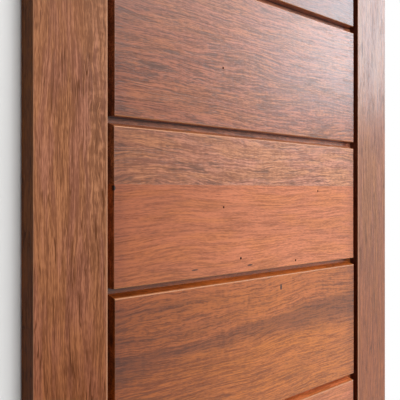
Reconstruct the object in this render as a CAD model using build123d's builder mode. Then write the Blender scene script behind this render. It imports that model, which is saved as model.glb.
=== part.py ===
from build123d import *
import math
import os

# Exterior door seen from outside along +Y: X to the right, Y into the building, Z up.
# The origin is the middle of the sill's underside, half way through the frame's depth.

# Leaf
leaf_width = 920.0
leaf_height = 2400.0
leaf_thickness = 54.0
lip_thickness = 25.5
lip_width = 15.0
stile_width = 120.0
rail_height = 113.0
arris_radius = 1.2

# Boards between the stiles, tongued into each other and into the stiles
board_count = 9
board_recess = 2.5
channel_width = 14.0
tongue_thickness = 17.0
tongue_reach = 10.0
end_tongue_reach = 12.0
stile_groove_depth = 15.0
tongue_clearance = 0.15
# How far each board lies off the middle, as shares of its play between the stiles
board_shift_shares = (0.2, -0.1, 0.3, -0.25, 0.35, -0.2, 0.1, -0.15, 0.25)
# Rise of a board's outside top edge towards its tongue, which sheds water out of the channel
weathering_rise = 5.5
# Old pin holes by board, as shares of half the face's width and of its height
pin_hole_radius = 1.9
pin_hole_depth = 6.0
pin_hole_shares = {
    6: ((-0.144, 0.107), (0.352, 0.043), (0.584, 0.611), (-0.281, 0.489)),
    7: ((-0.288, 0.43),),
}

# Dowels between stiles and rails
dowel_radius = 7.0
dowel_length = 100.0
dowel_in_stile = 45.0
dowel_spacing = 56.0

# Frame
frame_depth = 78.0
frame_margin = 50.0
face_gap = 3.0
rebate_gap = 4.0
stop_gap = 6.0
stop_width = 15.0
frame_arris_radius = 3.0
fixing_radius = 4.25
fixing_head_radius = 8.0
fixing_head_depth = 8.0
fixing_from_back = 24.0
fixing_end_distance = 240.0
fixing_inner_spacing = 680.0

# Sill and rain bar
sill_height = 18.0
sill_gap = 8.0
sill_nose_reach = 42.0
sill_nose_height = 12.0
sill_nose_radius = 3.0
drip_radius = 3.0
drip_from_nose = 9.0
rain_bar_height = 14.0
rain_bar_width = 12.0
rain_bar_radius = 2.5

# Seals
seal_clearance = 0.3
kerf_width = 3.5
kerf_depth = 8.0
bulb_width = 9.0
bulb_radius = 4.0
sweep_width = 10.0
sweep_depth = 10.0
sweep_fin = 2.0
sweep_end_distance = 20.0

# Screws
screw_radius = 3.0
screw_head_radius = 6.0
screw_clearance = 0.05
screw_head_angle = 90.0
frame_screw_length = 90.0
frame_screw_spacing = 40.0
frame_screw_inset = 25.0
plate_screw_radius = 2.0
plate_screw_head_radius = 4.0
plate_screw_length = 30.0
plate_screw_inset = 14.0
# Cross recess in a screw's head, as shares of the screw's radius
cross_length_share = 2.2
cross_width_share = 0.5
cross_depth_share = 0.7

# Barrel hinges
barrel_radius = 8.0
barrel_half = 50.0
barrel_arris = 1.5
barrel_gap = 1.0
hinge_pin_radius = 4.5
hinge_pin_reach = 38.0
hinge_press_gap = 0.02
hinge_running_gap = 0.05
hinge_pin_end_gap = 0.3
washer_thickness = 1.5
stud_radius = 3.75
stud_spacing = 28.0
frame_stud_depth = 35.0
leaf_stud_depth = 40.0
bottom_hinge_height = 250.0
top_hinge_drop = 180.0
middle_hinge_drop = 230.0

# Lock
handle_height = 1024.0
backset = 55.0
key_drop = 92.0
case_depth = 78.0
case_thickness = 15.0
case_wall = 1.5
case_margin = 46.0
case_clearance = 0.25
forend_thickness = 3.0
forend_width = 22.0
forend_height = 250.0
forend_clearance = 0.1
bolt_clearance = 0.3
latch_throw = 12.0
latch_lift = 26.0
latch_height = 30.0
latch_thickness = 11.0
latch_head_length = 27.0
latch_nose = 2.5
latch_tail_height = 8.0
latch_tail_thickness = 5.0
latch_hook_length = 6.0
latch_hook_drop = 9.0
spring_radius = 3.2
spring_wire_radius = 0.5
spring_pitch = 3.4
handle_turn_degrees = 40.0
follower_radius = 10.0
follower_running_gap = 0.05
follower_arm_width = 3.0
follower_arm_thickness = 8.0
follower_tip_radius = 3.2
follower_hook_gap = 0.5
deadbolt_throw = 20.0
deadbolt_drop = 12.0
deadbolt_height = 34.0
deadbolt_thickness = 11.0
deadbolt_head_length = 30.0
deadbolt_chamfer = 1.5
deadbolt_tail_thickness = 5.0
deadbolt_tail_height = 12.5
deadbolt_tail_length = 43.0
deadbolt_tail_gap = 1.0
deadbolt_slot_gap = 1.0
deadbolt_slot_floor = 3.0
hub_radius = 7.5
hub_arm_width = 8.0
hub_arm_thickness = 5.2
hub_pin_radius = 2.5
hub_pin_end_gap = 0.3

# Handles, cylinder and thumbturn
spindle_size = 8.0
spindle_clearance = 0.05
spindle_in_lever = 22.0
spindle_hole_radius = 12.0
rose_radius = 26.0
rose_thickness = 9.0
rose_arris = 3.0
lever_radius = 9.5
lever_running_gap = 0.1
lever_stand = 52.0
lever_length = 130.0
lever_elbow_radius = 20.0
lever_tip_radius = 4.0
cylinder_radius = 13.0
cylinder_clearance = 0.1
cylinder_flange_radius = 18.0
cylinder_flange_thickness = 8.0
cylinder_arris = 2.0
plug_radius = 7.0
plug_running_gap = 0.05
plug_end_gap = 1.0
keyway_width = 2.2
keyway_height = 8.5
keyway_depth = 20.0
tailpiece_width = 6.0
tailpiece_thickness = 2.2
tailpiece_clearance = 0.05
thumb_stem_radius = 6.0
thumb_stem_gap = 0.3
thumb_hole_clearance = 0.25
thumb_socket_depth = 10.0
thumb_length = 34.0
thumb_width = 12.0
thumb_height = 16.0
thumb_arris = 2.0

# Strike
strike_thickness = 2.5
strike_width = 20.0
strike_height = 230.0
strike_hole_clearance = 1.5
strike_pocket_clearance = 3.0

# How far cuts run past a face, and the turn that stands a slot upright
overrun = 5.0
upright_degrees = 90.0

# Places across the door, along X
leaf_half = leaf_width / 2
stile_inner_x = leaf_half - stile_width
rebate_edge_x = leaf_half - lip_width
jamb_rebate_x = rebate_edge_x + rebate_gap
stop_edge_x = jamb_rebate_x - stop_width
frame_half = leaf_half + frame_margin
seal_x = (jamb_rebate_x + stop_edge_x) / 2
field_half = stile_inner_x - channel_width
board_half = stile_inner_x + end_tongue_reach
dowel_outer_x = stile_inner_x + stile_groove_depth + dowel_in_stile
dowel_inner_x = dowel_outer_x - dowel_length
board_play = stile_groove_depth - end_tongue_reach
sweep_half = rebate_edge_x - sweep_end_distance

# Places through the door, along Y
frame_front_y = -frame_depth / 2
frame_back_y = frame_depth / 2
lip_back_y = frame_front_y - face_gap
leaf_front_y = lip_back_y - lip_thickness
leaf_back_y = leaf_front_y + leaf_thickness
leaf_middle_y = (leaf_front_y + leaf_back_y) / 2
stop_y = leaf_back_y + stop_gap
sill_nose_y = frame_front_y - sill_nose_reach
fixing_y = frame_back_y - fixing_from_back
board_thickness = leaf_thickness - 2 * board_recess
board_front_y = leaf_front_y + board_recess
tongue_front_y = leaf_middle_y - tongue_thickness / 2
sweep_y = (lip_back_y + leaf_back_y) / 2

# Heights, along Z
leaf_bottom_z = sill_height + sill_gap
leaf_top_z = leaf_bottom_z + leaf_height
bottom_rail_top_z = leaf_bottom_z + rail_height
top_rail_bottom_z = leaf_top_z - rail_height
frame_top_z = leaf_top_z + frame_margin
head_rebate_z = leaf_top_z - lip_width + rebate_gap
head_stop_z = head_rebate_z - stop_width
head_seal_z = (head_rebate_z + head_stop_z) / 2
side_seal_top_z = head_seal_z - bulb_width / 2
board_span = top_rail_bottom_z - bottom_rail_top_z - channel_width
board_pitch = board_span / board_count
field_height = board_pitch - channel_width
tongue_rise = channel_width + tongue_reach
fixing_middle_z = (sill_height + frame_top_z) / 2
fixing_outer_spacing = frame_top_z - sill_height - 2 * fixing_end_distance
rail_middles_z = [leaf_bottom_z + rail_height / 2, leaf_top_z - rail_height / 2]
dowel_heights = [z + s * dowel_spacing / 2 for z in rail_middles_z for s in (-1, 1)]
fixing_heights = [
    fixing_middle_z + s * spacing / 2
    for spacing in (fixing_outer_spacing, fixing_inner_spacing)
    for s in (-1, 1)
]

# Hinge axis and heights
hinge_x = leaf_half + barrel_radius + barrel_gap
hinge_y = lip_back_y - lip_thickness / 2
top_hinge_z = leaf_top_z - top_hinge_drop
hinge_heights = {
    "bottom": leaf_bottom_z + bottom_hinge_height,
    "middle": top_hinge_z - middle_hinge_drop,
    "top": top_hinge_z,
}

# Places in the lock
lock_y = (lip_back_y + leaf_back_y) / 2
spindle_x = -rebate_edge_x + backset
handle_z = leaf_bottom_z + handle_height
key_z = handle_z - key_drop
case_front_x = -rebate_edge_x + forend_thickness
case_rear_x = case_front_x + case_depth
case_outer_y = lock_y - case_thickness / 2
case_inner_y = lock_y + case_thickness / 2
cover_y = case_inner_y - case_wall
floor_y = case_outer_y + case_wall
case_bottom_z = key_z - case_margin
case_top_z = handle_z + case_margin
forend_z = (case_bottom_z + case_top_z) / 2
forend_screw_reach = (case_top_z - case_bottom_z + forend_height) / 4
latch_z = handle_z + latch_lift
deadbolt_z = key_z - deadbolt_drop
latch_front_y = lock_y - latch_thickness / 2
latch_back_y = lock_y + latch_thickness / 2
half_turn = math.radians(handle_turn_degrees) / 2
follower_crank = latch_throw / (2 * math.sin(half_turn))
follower_tip_x = spindle_x - follower_crank * math.sin(half_turn)
follower_tip_z = handle_z + follower_crank * math.cos(half_turn)
hook_x = follower_tip_x + follower_tip_radius + follower_hook_gap
hook_end_x = hook_x + latch_hook_length
latch_tail_z = latch_z - latch_tail_height / 2
hook_bottom_z = latch_tail_z - latch_hook_drop
spring_z = (hook_bottom_z + latch_tail_z) / 2
spring_length = case_rear_x - case_wall - hook_end_x - 2 * spring_wire_radius
hub_crank = deadbolt_throw / math.sqrt(2)
hub_pin_x = spindle_x + deadbolt_throw / 2
hub_pin_z = key_z - deadbolt_throw / 2
tail_top_z = key_z - hub_radius - deadbolt_tail_gap
lever_faces = {"outside": (leaf_front_y, -1), "inside": (leaf_back_y, 1)}


def plane_x(x):
    """A plane that looks along +X, with Y and Z as its own axes."""
    return Plane.YZ.offset(x)


def plane_y(y):
    """A plane that looks along -Y, with X and Z as its own axes."""
    return Plane.XZ.offset(-y)


def plane_z(z):
    """A plane that looks along +Z, with X and Y as its own axes."""
    return Plane.XY.offset(z)


def span(u0, u1, v0, v1, mode=Mode.ADD):
    """A rectangle of the sketch in hand between two values on each of its axes."""
    with Locations(((u0 + u1) / 2, (v0 + v1) / 2)):
        Rectangle(abs(u1 - u0), abs(v1 - v0), mode=mode)


def finish(part, name):
    """Name a finished piece and write it."""
    part.label = name
    export_step(part, f"parts/{name}.step")


def screw_bodies(planes, radius, head_radius, length):
    """Countersunk screws with a cross recess, their heads flush in the given planes."""
    with Locations(*planes):
        top = (Align.CENTER, Align.CENTER, Align.MAX)
        Cylinder(radius, length, align=top)
        Cone(radius, head_radius, head_radius - radius, align=top)
        slot = (cross_length_share * radius, cross_width_share * radius)
        for width, height in (slot, slot[::-1]):
            Box(width, height, cross_depth_share * radius, align=top, mode=Mode.SUBTRACT)


def screw_holes(planes, radius, head_radius, length):
    """Countersunk holes that take those screws."""
    with Locations(*planes):
        CounterSinkHole(
            radius + screw_clearance,
            head_radius + screw_clearance,
            length,
            screw_head_angle,
        )


os.makedirs("parts", exist_ok=True)

# Where the screws sit: each plane lies on a face and looks out of it
corner_x = frame_half - frame_screw_inset
sill_screw_planes = [
    Plane(origin=(side * corner_x, s * frame_screw_spacing / 2, 0), x_dir=(1, 0, 0), z_dir=(0, 0, -1))
    for side in (-1, 1)
    for s in (-1, 1)
]
head_screw_planes = [
    Plane(origin=(side * corner_x, s * frame_screw_spacing / 2, frame_top_z))
    for side in (-1, 1)
    for s in (-1, 1)
]
frame_screw_planes = sill_screw_planes + head_screw_planes
frame_screw = (screw_radius, screw_head_radius, frame_screw_length)
plate_screw = (plate_screw_radius, plate_screw_head_radius, plate_screw_length)
forend_screw_planes = [
    Plane(
        origin=(-rebate_edge_x, lock_y, forend_z + s * forend_screw_reach),
        z_dir=(-1, 0, 0),
    )
    for s in (-1, 1)
]
strike_screw_planes = [
    Plane(
        origin=(-jamb_rebate_x, lock_y, forend_z + s * (strike_height / 2 - plate_screw_inset)),
        z_dir=(1, 0, 0),
    )
    for s in (-1, 1)
]


# Stiles: lipped on the outer edge and the top, grooved on the inner edge
def stile(side):
    with BuildPart() as body:
        with BuildSketch(plane_z(leaf_bottom_z)) as section:
            span(side * leaf_half, side * stile_inner_x, leaf_front_y, leaf_back_y)
            span(side * leaf_half, side * rebate_edge_x, lip_back_y, leaf_back_y, Mode.SUBTRACT)
            fillet(section.vertices().group_by(Axis.Y)[0], arris_radius)
            fillet(section.vertices().group_by(Axis.Y)[-1], arris_radius)
            groove_half = tongue_thickness / 2 + tongue_clearance
            span(
                side * stile_inner_x,
                side * (stile_inner_x + stile_groove_depth),
                leaf_middle_y - groove_half,
                leaf_middle_y + groove_half,
                Mode.SUBTRACT,
            )
        extrude(amount=leaf_height)
        with BuildSketch(Plane.YZ):
            span(lip_back_y, leaf_back_y + overrun, leaf_top_z - lip_width, leaf_top_z + overrun)
        extrude(amount=leaf_width, both=True, mode=Mode.SUBTRACT)
        with BuildSketch(Plane.YZ):
            span(
                sweep_y - sweep_width / 2,
                sweep_y + sweep_width / 2,
                leaf_bottom_z - overrun,
                leaf_bottom_z + sweep_depth,
            )
        extrude(amount=sweep_half, both=True, mode=Mode.SUBTRACT)
        with BuildSketch(plane_x(side * dowel_outer_x)):
            with Locations(*[(leaf_middle_y, z) for z in dowel_heights]):
                Circle(dowel_radius)
        extrude(amount=-side * (dowel_outer_x - stile_inner_x), mode=Mode.SUBTRACT)
    return body.part


with BuildPart() as lock_stile:
    add(stile(-1))
    # Mortise for the lock case, with the forend let in flush
    with BuildSketch(plane_x(-rebate_edge_x)):
        with Locations((lock_y, forend_z)):
            SlotOverall(
                forend_height + 2 * forend_clearance,
                forend_width + 2 * forend_clearance,
                rotation=upright_degrees,
            )
    extrude(amount=forend_thickness, mode=Mode.SUBTRACT)
    with BuildSketch(plane_x(case_front_x)):
        span(
            case_outer_y - case_clearance,
            case_inner_y + case_clearance,
            case_bottom_z - case_clearance,
            case_top_z + case_clearance,
        )
    extrude(amount=case_depth + case_clearance, mode=Mode.SUBTRACT)
    # Holes for the spindle, the key cylinder and the thumbturn's stem
    with BuildSketch(plane_y(leaf_back_y)):
        with Locations((spindle_x, handle_z)):
            Circle(spindle_hole_radius)
    extrude(amount=leaf_thickness, mode=Mode.SUBTRACT)
    with BuildSketch(plane_y(case_outer_y)):
        with Locations((spindle_x, key_z)):
            Circle(cylinder_radius + cylinder_clearance)
    extrude(amount=case_outer_y - leaf_front_y, mode=Mode.SUBTRACT)
    with BuildSketch(plane_y(leaf_back_y)):
        with Locations((spindle_x, key_z)):
            Circle(thumb_stem_radius + thumb_hole_clearance)
    extrude(amount=leaf_back_y - case_inner_y, mode=Mode.SUBTRACT)
    screw_holes(forend_screw_planes, *plate_screw)
finish(lock_stile.part, "lock_stile")

with BuildPart() as hinge_stile:
    add(stile(1))
    with BuildSketch(plane_x(leaf_half)):
        for height in hinge_heights.values():
            half_z = height + washer_thickness + barrel_half / 2
            with Locations(*[(hinge_y, half_z + s * stud_spacing / 2) for s in (-1, 1)]):
                Circle(stud_radius + hinge_press_gap)
    extrude(amount=-leaf_stud_depth, mode=Mode.SUBTRACT)
finish(hinge_stile.part, "hinge_stile")


# Rails: tongued into the stiles, with the boards' tongue or groove on the inner edge
def weathering(face_y, top_z):
    """The sloped outside top edge of a rail or board, in a sketch that looks along X."""
    Polygon(
        (face_y, top_z),
        (tongue_front_y, top_z),
        (tongue_front_y, top_z + weathering_rise),
        align=None,
    )


def rail_dowel_holes():
    """Circles for a rail's dowel holes, in a sketch that looks along X."""
    with Locations(*[(leaf_middle_y, z) for z in dowel_heights]):
        Circle(dowel_radius)


with BuildPart() as bottom_rail:
    with BuildSketch(Plane.YZ) as section:
        span(leaf_front_y, leaf_back_y, leaf_bottom_z, bottom_rail_top_z)
        fillet(section.vertices().group_by(Axis.Y)[-1].sort_by(Axis.X)[-1], arris_radius)
        weathering(leaf_front_y, bottom_rail_top_z)
        fillet(section.vertices().group_by(Axis.X)[0].sort_by(Axis.Y)[-1], arris_radius)
    extrude(amount=stile_inner_x, both=True)
    with BuildSketch(Plane.YZ):
        span(
            leaf_middle_y - tongue_thickness / 2,
            leaf_middle_y + tongue_thickness / 2,
            leaf_bottom_z,
            bottom_rail_top_z + tongue_rise,
        )
    extrude(amount=board_half, both=True)
    with BuildSketch(Plane.YZ):
        span(
            sweep_y - sweep_width / 2,
            sweep_y + sweep_width / 2,
            leaf_bottom_z - overrun,
            leaf_bottom_z + sweep_depth,
        )
    extrude(amount=sweep_half, both=True, mode=Mode.SUBTRACT)
    for side in (-1, 1):
        with BuildSketch(plane_x(side * dowel_inner_x)):
            rail_dowel_holes()
        extrude(amount=side * dowel_length, mode=Mode.SUBTRACT)
finish(bottom_rail.part, "bottom_rail")

with BuildPart() as top_rail:
    with BuildSketch(Plane.YZ) as section:
        span(leaf_front_y, leaf_back_y, top_rail_bottom_z, leaf_top_z)
        fillet(section.vertices().group_by(Axis.Y)[0], arris_radius)
    extrude(amount=stile_inner_x, both=True)
    with BuildSketch(Plane.YZ):
        span(
            leaf_middle_y - tongue_thickness / 2,
            leaf_middle_y + tongue_thickness / 2,
            top_rail_bottom_z,
            leaf_top_z,
        )
    extrude(amount=board_half, both=True)
    with BuildSketch(Plane.YZ):
        span(
            leaf_middle_y - tongue_thickness / 2 - tongue_clearance,
            leaf_middle_y + tongue_thickness / 2 + tongue_clearance,
            top_rail_bottom_z - overrun,
            top_rail_bottom_z + tongue_reach,
        )
        span(lip_back_y, leaf_back_y + overrun, leaf_top_z - lip_width, leaf_top_z + overrun)
    extrude(amount=leaf_width, both=True, mode=Mode.SUBTRACT)
    for side in (-1, 1):
        with BuildSketch(plane_x(side * dowel_inner_x)):
            rail_dowel_holes()
        extrude(amount=side * dowel_length, mode=Mode.SUBTRACT)
finish(top_rail.part, "top_rail")

with BuildPart() as rail_dowels:
    for side in (-1, 1):
        with BuildSketch(plane_x(side * dowel_inner_x)):
            with Locations(*[(leaf_middle_y, z) for z in dowel_heights]):
                Circle(dowel_radius)
        extrude(amount=side * dowel_length)
finish(rail_dowels.part, "rail_dowels")

# Boards, numbered from the bottom: a raised field with eased edges on both faces, a weathered
# top edge outside, a tongue all along the top and at both ends, and a groove along the bottom
for number in range(1, board_count + 1):
    bottom_z = bottom_rail_top_z + channel_width + (number - 1) * board_pitch
    shift = board_play * board_shift_shares[(number - 1) % len(board_shift_shares)]
    with BuildPart() as board:
        with BuildSketch(plane_y(leaf_back_y - board_recess)):
            span(shift - field_half, shift + field_half, bottom_z, bottom_z + field_height)
        extrude(amount=board_thickness)
        with BuildSketch(plane_x(shift)):
            weathering(board_front_y, bottom_z + field_height)
        extrude(amount=field_half, both=True)
        faces = board.faces().filter_by(Axis.Y).sort_by(Axis.Y)
        fillet(faces[0].edges() + faces[-1].edges(), arris_radius)
        with BuildSketch(plane_x(shift)):
            span(
                leaf_middle_y - tongue_thickness / 2,
                leaf_middle_y + tongue_thickness / 2,
                bottom_z,
                bottom_z + field_height + tongue_rise,
            )
        extrude(amount=board_half, both=True)
        with BuildSketch(Plane.YZ):
            span(
                leaf_middle_y - tongue_thickness / 2 - tongue_clearance,
                leaf_middle_y + tongue_thickness / 2 + tongue_clearance,
                bottom_z - overrun,
                bottom_z + tongue_reach,
            )
        extrude(amount=leaf_width, both=True, mode=Mode.SUBTRACT)
        for x_share, z_share in pin_hole_shares.get(number, ()):
            with BuildSketch(plane_y(board_front_y + pin_hole_depth)):
                with Locations((shift + x_share * field_half, bottom_z + z_share * field_height)):
                    Circle(pin_hole_radius)
            extrude(amount=pin_hole_depth, mode=Mode.SUBTRACT)
    finish(board.part, f"board_{number}")

# Sweep seal let into the leaf's underside: a body with two fins that reach to the sill
with BuildPart() as bottom_seal:
    with BuildSketch(Plane.YZ):
        low_y = sweep_y - sweep_width / 2
        high_y = sweep_y + sweep_width / 2
        fin_z = sill_height + seal_clearance
        span(low_y, high_y, leaf_bottom_z, leaf_bottom_z + sweep_depth)
        span(low_y, low_y + sweep_fin, fin_z, leaf_bottom_z)
        span(high_y - sweep_fin, high_y, fin_z, leaf_bottom_z)
    extrude(amount=sweep_half, both=True)
finish(bottom_seal.part, "bottom_seal")


# Frame: one rebated section for the jambs and the head, mitred at the top corners
def mitre(side):
    return Plane(origin=(side * frame_half, 0, frame_top_z), z_dir=(-side, 0, 1))


def jamb(side):
    with BuildPart() as body:
        with BuildSketch(plane_z(sill_height)) as section:
            span(side * frame_half, side * jamb_rebate_x, frame_front_y, frame_back_y)
            span(side * jamb_rebate_x, side * stop_edge_x, stop_y, frame_back_y)
            fillet(section.vertices().group_by(Axis.Y)[0], frame_arris_radius)
            fillet(section.vertices().group_by(Axis.Y)[-1], frame_arris_radius)
            span(
                side * seal_x - kerf_width / 2,
                side * seal_x + kerf_width / 2,
                stop_y,
                stop_y + kerf_depth,
                Mode.SUBTRACT,
            )
        extrude(amount=frame_top_z - sill_height)
        split(bisect_by=mitre(side), keep=Keep.BOTTOM)
        fixings = [
            Plane(origin=(side * stop_edge_x, fixing_y, z), z_dir=(-side, 0, 0)) for z in fixing_heights
        ]
        with Locations(*fixings):
            CounterBoreHole(
                fixing_radius,
                fixing_head_radius,
                fixing_head_depth,
                frame_half - stop_edge_x,
            )
        screw_holes(frame_screw_planes, *frame_screw)
    return body.part


with BuildPart() as lock_jamb:
    add(jamb(-1))
    # Recess for the strike plate and pockets for the latch and the deadbolt
    with BuildSketch(plane_x(-jamb_rebate_x)):
        with Locations((lock_y, forend_z)):
            Rectangle(strike_width, strike_height)
    extrude(amount=-strike_thickness, mode=Mode.SUBTRACT)
    with BuildSketch(plane_x(-jamb_rebate_x)):
        with Locations((lock_y, latch_z)):
            Rectangle(
                latch_thickness + 2 * strike_hole_clearance,
                latch_height + 2 * strike_hole_clearance,
            )
    extrude(amount=-(latch_throw - rebate_gap + strike_pocket_clearance), mode=Mode.SUBTRACT)
    with BuildSketch(plane_x(-jamb_rebate_x)):
        with Locations((lock_y, deadbolt_z)):
            Rectangle(
                deadbolt_thickness + 2 * strike_hole_clearance,
                deadbolt_height + 2 * strike_hole_clearance,
            )
    extrude(amount=-(deadbolt_throw - rebate_gap + strike_pocket_clearance), mode=Mode.SUBTRACT)
    screw_holes(strike_screw_planes, *plate_screw)
finish(lock_jamb.part, "lock_jamb")

with BuildPart() as hinge_jamb:
    add(jamb(1))
    with BuildSketch(plane_y(frame_front_y)):
        for height in hinge_heights.values():
            half_z = height - barrel_half / 2
            with Locations(*[(hinge_x, half_z + s * stud_spacing / 2) for s in (-1, 1)]):
                Circle(stud_radius + hinge_press_gap)
    extrude(amount=-frame_stud_depth, mode=Mode.SUBTRACT)
finish(hinge_jamb.part, "hinge_jamb")

with BuildPart() as head_jamb:
    with BuildSketch(Plane.YZ) as section:
        span(frame_front_y, frame_back_y, head_rebate_z, frame_top_z)
        span(stop_y, frame_back_y, head_stop_z, head_rebate_z)
        fillet(section.vertices().group_by(Axis.X)[0], frame_arris_radius)
        fillet(section.vertices().group_by(Axis.X)[-1], frame_arris_radius)
        span(
            stop_y,
            stop_y + kerf_depth,
            head_seal_z - kerf_width / 2,
            head_seal_z + kerf_width / 2,
            Mode.SUBTRACT,
        )
    extrude(amount=frame_half, both=True)
    split(bisect_by=mitre(-1), keep=Keep.TOP)
    split(bisect_by=mitre(1), keep=Keep.TOP)
    screw_holes(head_screw_planes, *frame_screw)
finish(head_jamb.part, "head_jamb")

# Sill with a weathered nose and a drip, under the feet of both jambs
with BuildPart() as sill:
    with BuildSketch(Plane.YZ) as section:
        with BuildLine():
            Polyline(
                (frame_back_y, 0),
                (frame_back_y, sill_height),
                (frame_front_y, sill_height),
                (sill_nose_y, sill_nose_height),
                (sill_nose_y, 0),
                close=True,
            )
        make_face()
        fillet(section.vertices().sort_by(Axis.X)[:2].sort_by(Axis.Y)[-1], sill_nose_radius)
        with Locations((sill_nose_y + drip_from_nose, 0)):
            Circle(drip_radius, mode=Mode.SUBTRACT)
    extrude(amount=frame_half, both=True)
    screw_holes(sill_screw_planes, *frame_screw)
finish(sill.part, "sill")

with BuildPart() as rain_bar:
    with BuildSketch(Plane.YZ) as section:
        span(stop_y, stop_y + rain_bar_width, sill_height, sill_height + rain_bar_height)
        fillet(section.vertices().group_by(Axis.Y)[-1], rain_bar_radius)
    extrude(amount=stop_edge_x, both=True)
finish(rain_bar.part, "rain_bar")

with BuildPart() as frame_screws:
    screw_bodies(frame_screw_planes, *frame_screw)
finish(frame_screws.part, "frame_screws")

# Seals in the frame: a stem in the kerf and a soft bulb in front of the stop
bulb_y = leaf_back_y + seal_clearance
for name, side in (("seal_lock_side", -1), ("seal_hinge_side", 1)):
    with BuildPart() as seal:
        with BuildSketch(plane_z(sill_height)) as section:
            span(side * seal_x - bulb_width / 2, side * seal_x + bulb_width / 2, bulb_y, stop_y)
            fillet(section.vertices().group_by(Axis.Y)[0], bulb_radius)
            span(
                side * seal_x - kerf_width / 2,
                side * seal_x + kerf_width / 2,
                stop_y,
                stop_y + kerf_depth,
            )
        extrude(amount=side_seal_top_z - sill_height)
    finish(seal.part, name)

with BuildPart() as seal_head:
    with BuildSketch(Plane.YZ) as section:
        span(bulb_y, stop_y, head_seal_z - bulb_width / 2, head_seal_z + bulb_width / 2)
        fillet(section.vertices().group_by(Axis.X)[0], bulb_radius)
        span(stop_y, stop_y + kerf_depth, head_seal_z - kerf_width / 2, head_seal_z + kerf_width / 2)
    extrude(amount=seal_x, both=True)
finish(seal_head.part, "seal_head")

# Strike plate let into the lock jamb
with BuildPart() as strike_plate:
    with BuildSketch(plane_x(-jamb_rebate_x)):
        with Locations((lock_y, forend_z)):
            Rectangle(strike_width, strike_height)
        with Locations((lock_y, latch_z)):
            Rectangle(
                latch_thickness + 2 * strike_hole_clearance,
                latch_height + 2 * strike_hole_clearance,
                mode=Mode.SUBTRACT,
            )
        with Locations((lock_y, deadbolt_z)):
            Rectangle(
                deadbolt_thickness + 2 * strike_hole_clearance,
                deadbolt_height + 2 * strike_hole_clearance,
                mode=Mode.SUBTRACT,
            )
    extrude(amount=-strike_thickness)
    screw_holes(strike_screw_planes, *plate_screw)
finish(strike_plate.part, "strike_plate")

with BuildPart() as strike_screws:
    screw_bodies(strike_screw_planes, *plate_screw)
finish(strike_screws.part, "strike_screws")


# Barrel hinges: the lower half is screwed into the frame, the upper half into the leaf's lip
def hinge_frame_half(height):
    with BuildPart() as half:
        with BuildSketch(plane_z(height - barrel_half)):
            with Locations((hinge_x, hinge_y)):
                Circle(barrel_radius)
        extrude(amount=barrel_half)
        fillet(half.edges().filter_by(GeomType.CIRCLE).sort_by(Axis.Z)[0], barrel_arris)
        with BuildSketch(plane_y(hinge_y)):
            half_z = height - barrel_half / 2
            with Locations(*[(hinge_x, half_z + s * stud_spacing / 2) for s in (-1, 1)]):
                Circle(stud_radius)
        extrude(amount=-(frame_front_y - hinge_y + frame_stud_depth))
        with BuildSketch(plane_z(height - barrel_half)):
            with Locations((hinge_x, hinge_y)):
                Circle(hinge_pin_radius + hinge_press_gap)
        extrude(amount=barrel_half, mode=Mode.SUBTRACT)
    return half.part


def hinge_leaf_half(height):
    base_z = height + washer_thickness
    with BuildPart() as half:
        with BuildSketch(plane_z(base_z)):
            with Locations((hinge_x, hinge_y)):
                Circle(barrel_radius)
        extrude(amount=barrel_half)
        fillet(half.edges().filter_by(GeomType.CIRCLE).sort_by(Axis.Z)[-1], barrel_arris)
        with BuildSketch(plane_x(hinge_x)):
            half_z = base_z + barrel_half / 2
            with Locations(*[(hinge_y, half_z + s * stud_spacing / 2) for s in (-1, 1)]):
                Circle(stud_radius)
        extrude(amount=-(hinge_x - leaf_half + leaf_stud_depth))
        with BuildSketch(plane_z(base_z)):
            with Locations((hinge_x, hinge_y)):
                Circle(hinge_pin_radius + hinge_running_gap)
        extrude(amount=hinge_pin_reach + hinge_pin_end_gap, mode=Mode.SUBTRACT)
    return half.part


for name, height in hinge_heights.items():
    finish(hinge_frame_half(height), f"hinge_{name}_frame_half")
    finish(hinge_leaf_half(height), f"hinge_{name}_leaf_half")

with BuildPart() as hinge_pins:
    for height in hinge_heights.values():
        with BuildSketch(plane_z(height - barrel_half)):
            with Locations((hinge_x, hinge_y)):
                Circle(hinge_pin_radius)
        extrude(amount=barrel_half + washer_thickness + hinge_pin_reach)
finish(hinge_pins.part, "hinge_pins")

with BuildPart() as hinge_washers:
    for height in hinge_heights.values():
        with BuildSketch(plane_z(height)):
            with Locations((hinge_x, hinge_y)):
                Circle(barrel_radius)
                Circle(hinge_pin_radius + hinge_running_gap, mode=Mode.SUBTRACT)
        extrude(amount=washer_thickness)
finish(hinge_washers.part, "hinge_washers")

# Lock case: an open tray with its cover, behind the forend
with BuildPart() as lock_case:
    with BuildSketch(plane_y(cover_y)):
        span(case_front_x, case_rear_x, case_bottom_z, case_top_z)
    extrude(amount=cover_y - case_outer_y)
    with BuildSketch(plane_y(cover_y)):
        span(
            case_front_x + case_wall,
            case_rear_x - case_wall,
            case_bottom_z + case_wall,
            case_top_z - case_wall,
        )
    extrude(amount=cover_y - floor_y, mode=Mode.SUBTRACT)
    with BuildSketch(plane_y(floor_y)):
        with Locations((spindle_x, handle_z)):
            Circle(follower_radius + follower_running_gap)
        with Locations((spindle_x, key_z)):
            Circle(hub_radius + follower_running_gap)
    extrude(amount=case_wall, mode=Mode.SUBTRACT)
    with BuildSketch(plane_x(case_front_x)):
        with Locations((lock_y, latch_z)):
            Rectangle(latch_thickness + 2 * bolt_clearance, latch_height + 2 * bolt_clearance)
        with Locations((lock_y, deadbolt_z)):
            Rectangle(deadbolt_thickness + 2 * bolt_clearance, deadbolt_height + 2 * bolt_clearance)
    extrude(amount=case_wall, mode=Mode.SUBTRACT)
finish(lock_case.part, "lock_case")

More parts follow.
